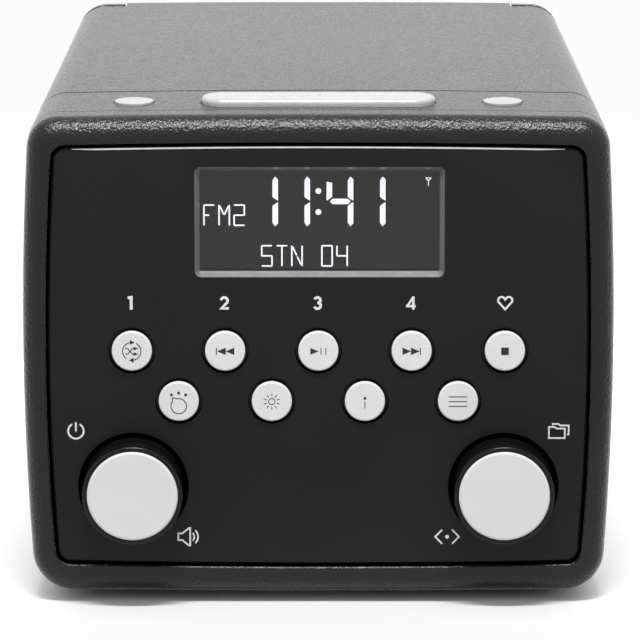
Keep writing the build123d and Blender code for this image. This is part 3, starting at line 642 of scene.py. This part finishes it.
def three(art):
    art.arc(-0.25, 0.78, 0.82, 160, -90, PRINT, round_ends=False)
    art.arc(-0.25, -0.8, 0.92, 90, -160, PRINT, round_ends=False)


def four(art):
    art.line([(0.45, -2.0), (0.45, 1.9)], PRINT * 0.9, round_ends=False)
    art.line([(0.4, 1.62), (-1.3, -0.9)], PRINT * 0.8, round_ends=False)
    art.line([(-1.65, -0.95), (1.15, -0.95)], PRINT * 0.9, round_ends=False)


def heart(art):
    """Outline of a heart: two lobes that meet above a point."""
    lobe = [(1.05 + 1.0 * cos(radians(t)), 0.75 + 1.0 * sin(radians(t))) for t in range(135, -41, -15)]
    right = [(0.0, 0.95)] + lobe + [(0.0, -1.9)]
    left = [(-x, z) for x, z in reversed(right[1:-1])]
    art.line(right + left, 0.55, closed=True)


def power(art):
    art.arc(0, 0, 2.25, 122, 418, 0.55)
    art.line([(0, 2.5), (0, 0.0)], 0.55)


def folder(art):
    """Two stacked folders."""
    front = [(-2.85, -2.1), (-2.85, 1.2), (-1.2, 1.2), (-0.7, 0.75), (1.75, 0.75), (1.75, -2.1)]
    art.line(front, 0.45, closed=True)
    behind = [(-1.75, 1.75), (-1.75, 2.1), (-0.1, 2.1), (0.4, 1.65), (2.85, 1.65), (2.85, -1.0),
              (2.45, -1.0)]
    art.line(behind, 0.45)


def loudspeaker(art):
    cone = [(-2.9, 1.0), (-2.9, -1.0), (-1.75, -1.0), (0.2, -2.6), (0.55, -2.6), (0.55, 2.6), (0.2, 2.6),
            (-1.75, 1.0)]
    art.line(cone, 0.5, closed=True)
    art.arc(0.2, 0, 1.55, 42, -42, 0.45)
    art.arc(0.2, 0, 2.65, 44, -44, 0.45)


def tune(art):
    """A dot between two angle brackets."""
    for side in (-1, 1):
        art.line([(side * 1.55, 2.0), (side * 3.45, 0), (side * 1.55, -2.0)], 0.5)
    art.disc(0, 0, 0.55)


def panel_print():
    """Numbers and symbols printed beside the controls."""
    row_z = box_of("preset_1_button")[2].z + LABEL_RISE
    knob_left = box_of("volume_knob")[2]
    knob_right = box_of("tuning_knob")[2]
    labels = [("label_1", one, "preset_1_button"), ("label_2", two, "preset_2_button"),
              ("label_3", three, "preset_3_button"), ("label_4", four, "preset_4_button"),
              ("label_favourite", heart, "favourite_button")]
    marks = [(name, draw, box_of(node)[2].x, row_z) for name, draw, node in labels]
    marks += [
        ("label_power", power, knob_left.x - POWER_OUT, knob_left.z + ICON_RISE),
        ("label_volume", loudspeaker, knob_left.x + VOLUME_IN, knob_left.z - ICON_DROP),
        ("label_folder", folder, knob_right.x + FOLDER_OUT, knob_right.z + ICON_RISE),
        ("label_tune", tune, knob_right.x - TUNE_IN, knob_right.z - ICON_DROP),
    ]
    for name, draw, x, z in marks:
        art = Artwork()
        draw(art)
        art.build(name, x, PANEL_Y, z, "cabinet", LIGHT_INK)


EDGE_REACH = 70.6        # half length of the painted highlight line, in mm
EDGE_CROWN = 0.9         # drop of the panel's top edge between its middle and its side
EDGE_WIDTH = 0.46
EDGE_DROP = 0.44         # below the panel's top edge, just under its chamfer
EDGE_STEPS = 60


def panel_edge_highlight():
    """Painted highlight along the top of the panel: a thin light strip, tapering near its ends, in place
    of the soft box's reflection in the panel's chamfer.
    """
    half = (PANEL_HIGH.x - PANEL_LOW.x) / 2 / MM
    upper, lower = [], []
    for i in range(EDGE_STEPS + 1):
        x = EDGE_REACH * (2 * i / EDGE_STEPS - 1)
        sag = EDGE_CROWN * (x / half) ** 2
        width = EDGE_WIDTH * min(1.0, 0.25 + 8.0 * (1 - abs(x) / EDGE_REACH))
        upper.append((x, -EDGE_DROP - sag))
        lower.append((x, -EDGE_DROP - width - sag))
    art = Artwork()
    art.strip(upper, lower)
    art.build("panel_edge_highlight", 0.0, PANEL_Y, PANEL_HIGH.z, "cabinet", painted_edge_highlight())


# ---------------------------------------------------------------- display
DIGIT_H = 14.6       # all in mm in this section
DIGIT_W = 6.1
DIGIT_BAR = 1.6
BAR_GAP = 0.2
CHAR_H = 5.95
CHAR_W = 2.95
CHAR_PITCH = 4.33
CHAR_BAR = 0.45
CLOCK = (("1", -12.4), ("1", -3.2), ("4", 9.25), ("1", 18.5))       # each digit and its right-hand bars
COLON = (3.05, -3.1)
COLON_DOT = 0.84
CLOCK_RISE = 5.35            # above the middle of the display
WORDS = (("FM2", -32.9, 0.25), ("STN 04", -16.3, -11.7))            # lower left corner of each
WORDS_DROP = 7.25            # their zero height, below the clock's
SIGNAL_OUT = 31.6            # signal mark from the middle of the display
SIGNAL_RISE = 11.1

SEVEN = {"1": "bc", "4": "fgbc"}
# segments of a text cell: a top, b and c right, d bottom, e and f left, g and n middle, i and l
# the middle upright, h and j the upper diagonals, m the lower right one
CELL = {
    "F": "afeg", "M": "efbchj", "S": "afgncd", "T": "ail", "N": "efbchm", "0": "abcdef", "4": "fgnbc",
    "2": "abgned",
}


def bar_upright(art, x, z_low, z_high, low_end, high_end):
    """Upright segment of a big digit.

    Each end gives how far the segment's left side, tip and right side stop short of it.
    """
    half = DIGIT_BAR / 2
    left0, tip0, right0 = low_end
    left1, tip1, right1 = high_end
    art.fill([
        (x - half, z_low + left0), (x - half * 0.1, z_low + tip0), (x + half, z_low + right0),
        (x + half, z_high - right1), (x - half * 0.1, z_high - tip1), (x - half, z_high - left1),
    ])


def big_digit(art, digit, x):
    """Seven-segment digit whose right-hand bars are centred on x."""
    top, low, half = DIGIT_H / 2, -DIGIT_H / 2, DIGIT_BAR / 2
    outer = (1.15, 0.0, 0.85)
    inner = (1.15 + BAR_GAP, 0.55 + BAR_GAP, BAR_GAP)
    for segment in SEVEN[digit]:
        if segment == "b":
            bar_upright(art, x, 0.0, top, inner, outer)
        elif segment == "c":
            bar_upright(art, x, low, 0.0, outer, inner)
        elif segment == "f":
            foot = (BAR_GAP, 0.5 + BAR_GAP, 1.1 + BAR_GAP)
            bar_upright(art, x - DIGIT_W, 0.0, top, foot, (1.5, 1.65, 1.85))
        elif segment == "g":
            x0, x1 = x - DIGIT_W + 0.15, x + 0.05
            art.fill([(x0, 0), (x0 + half, -half), (x1 - half, -half), (x1, 0), (x1 - half, half),
                      (x0 + half, half)])


def text_cell(art, letter, x, z):
    """Fourteen-segment character with its lower left corner at x, z."""
    w, h = CHAR_W, CHAR_H
    cx, cz = x + w / 2, z + h / 2
    gap = 0.16
    ends = {
        "a": ((x + gap, z + h), (x + w - gap, z + h)),
        "d": ((x + gap, z), (x + w - gap, z)),
        "f": ((x, cz + gap), (x, z + h - gap)), "e": ((x, z + gap), (x, cz - gap)),
        "b": ((x + w, cz + gap), (x + w, z + h - gap)), "c": ((x + w, z + gap), (x + w, cz - gap)),
        "g": ((x + gap, cz), (cx - gap, cz)), "n": ((cx + gap, cz), (x + w - gap, cz)),
        "h": ((x + 2 * gap, z + h - 3 * gap), (cx - gap, cz + 2 * gap)),
        "j": ((x + w - 2 * gap, z + h - 3 * gap), (cx + gap, cz + 2 * gap)),
        "m": ((x + w - 2 * gap, z + 3 * gap), (cx + gap, cz - 2 * gap)),
        "i": ((cx, cz + gap), (cx, z + h - gap)), "l": ((cx, z + gap), (cx, cz - gap)),
    }
    for segment in CELL[letter]:
        art.line(list(ends[segment]), CHAR_BAR)


def text_line(art, text, x, z):
    for letter in text:
        if letter != " ":
            text_cell(art, letter, x, z)
        x += CHAR_PITCH


def display_content():
    """Clock, band, preset name and a small signal mark, on the display's face."""
    low, _, middle = box_of("lcd_glass")
    clock = Artwork()
    for digit, x in CLOCK:
        big_digit(clock, digit, x)
    for z in COLON:
        clock.disc(0, z, COLON_DOT)
    clock_z = middle.z + CLOCK_RISE * MM
    clock.build("display_clock", 0.0, low.y, clock_z, "cabinet", LIT_SEGMENT)
    words = Artwork()
    for text, x, z in WORDS:
        text_line(words, text, x, z)
    words.build("display_text", 0.0, low.y, clock_z - WORDS_DROP * MM, "cabinet", LIT_SEGMENT)
    signal = Artwork()
    signal.line([(0, -1.15), (0, 0.45)], 0.28, round_ends=False)
    signal.line([(-0.75, 1.1), (0.0, 0.3), (0.75, 1.1)], 0.26, round_ends=False)
    signal.line([(-0.85, 1.15), (0.85, 1.15)], 0.26, round_ends=False)
    signal_z = middle.z + SIGNAL_RISE * MM
    signal.build("display_signal", SIGNAL_OUT * MM, low.y, signal_z, "cabinet", LIT_SEGMENT)


# ---------------------------------------------------------------- floor, light and camera
FLOOR_HALF = 6.0
FLOOR_PAINTED_SHADOW = (0.63, 0.63, 0.63)      # painted shadow: floor colour beside the radio, shading to FLOOR_FAR
FLOOR_FAR = (0.80, 0.80, 0.80)
FLOOR_SHADED_FROM = 0.08             # from the middle of the radio
FLOOR_SHADED_TO = 0.5
WORLD_STRENGTH = 1.12
SOFT_BOX_PLACE = (0.0, -0.46, 1.0)
SOFT_BOX_TILT = radians(30)
SOFT_BOX_WIDTH = 0.42
SOFT_BOX_DEPTH = 0.06
SOFT_BOX_SPREAD = radians(40)
SOFT_BOX_WATTS = 1.5
CAMERA_DISTANCE = 1.6
CAMERA_PITCH = radians(12.5)
CAMERA_LENS_MM = 312.45
AIM = Vector((0.00047, PANEL_Y, 0.0844))


def studio():
    """A flat pale floor, darker near the radio as a painted shadow, even light from all round and one
    narrow soft box above the front.
    """
    scene = bpy.context.scene
    scene.view_settings.view_transform = "Standard"
    mesh = bpy.data.meshes.new("floor")
    corners = [(x * FLOOR_HALF, y * FLOOR_HALF, 0) for x, y in ((-1, -1), (1, -1), (1, 1), (-1, 1))]
    mesh.from_pydata(corners, [], [(0, 1, 2, 3)])
    floor = bpy.data.objects.new("floor", mesh)
    scene.collection.objects.link(floor)
    surface = Surface("floor_white", FLOOR_FAR, 0.25, specular=0.5)
    # painted shadow: the floor's colour darkens towards the radio's middle
    distance = surface.node("ShaderNodeVectorMath", operation="LENGTH")
    surface.link(surface.place, distance.inputs[0])
    shade = surface.remap(distance.outputs["Value"], FLOOR_SHADED_FROM, FLOOR_SHADED_TO, 0.3, 0.7)
    surface.vary_color(shade, FLOOR_PAINTED_SHADOW, FLOOR_FAR)
    surface.vary_roughness(surface.noise(0.4, 2.0), 0.22, 0.3)
    mesh.materials.append(surface.material)

    world = bpy.data.worlds.new("studio")
    world.use_nodes = True
    world.node_tree.nodes["Background"].inputs["Color"].default_value = (1.0, 1.0, 1.0, 1.0)
    world.node_tree.nodes["Background"].inputs["Strength"].default_value = WORLD_STRENGTH
    scene.world = world


def soft_box():
    """Narrow light that draws the bright line along the rim's upper curve."""
    light = bpy.data.lights.new("overhead", "AREA")
    light.shape = "RECTANGLE"
    light.size = SOFT_BOX_WIDTH
    light.size_y = SOFT_BOX_DEPTH
    light.spread = SOFT_BOX_SPREAD
    light.energy = SOFT_BOX_WATTS
    lamp = bpy.data.objects.new("overhead", light)
    lamp.location = SOFT_BOX_PLACE
    lamp.rotation_euler = (SOFT_BOX_TILT, 0, 0)
    bpy.context.scene.collection.objects.link(lamp)


def camera():
    data = bpy.data.cameras.new("camera")
    data.lens = CAMERA_LENS_MM
    data.sensor_width = 36.0
    data.clip_start = 0.05
    data.clip_end = 20.0
    eye = bpy.data.objects.new("camera", data)
    back = Vector((0.0, -cos(CAMERA_PITCH), sin(CAMERA_PITCH)))
    eye.location = AIM + back * CAMERA_DISTANCE
    eye.rotation_euler = (pi / 2 - CAMERA_PITCH, 0.0, 0.0)
    bpy.context.scene.collection.objects.link(eye)
    bpy.context.scene.camera = eye


dress_cad_nodes()
button_symbols()
panel_print()
panel_edge_highlight()
display_content()
studio()
soft_box()
camera()
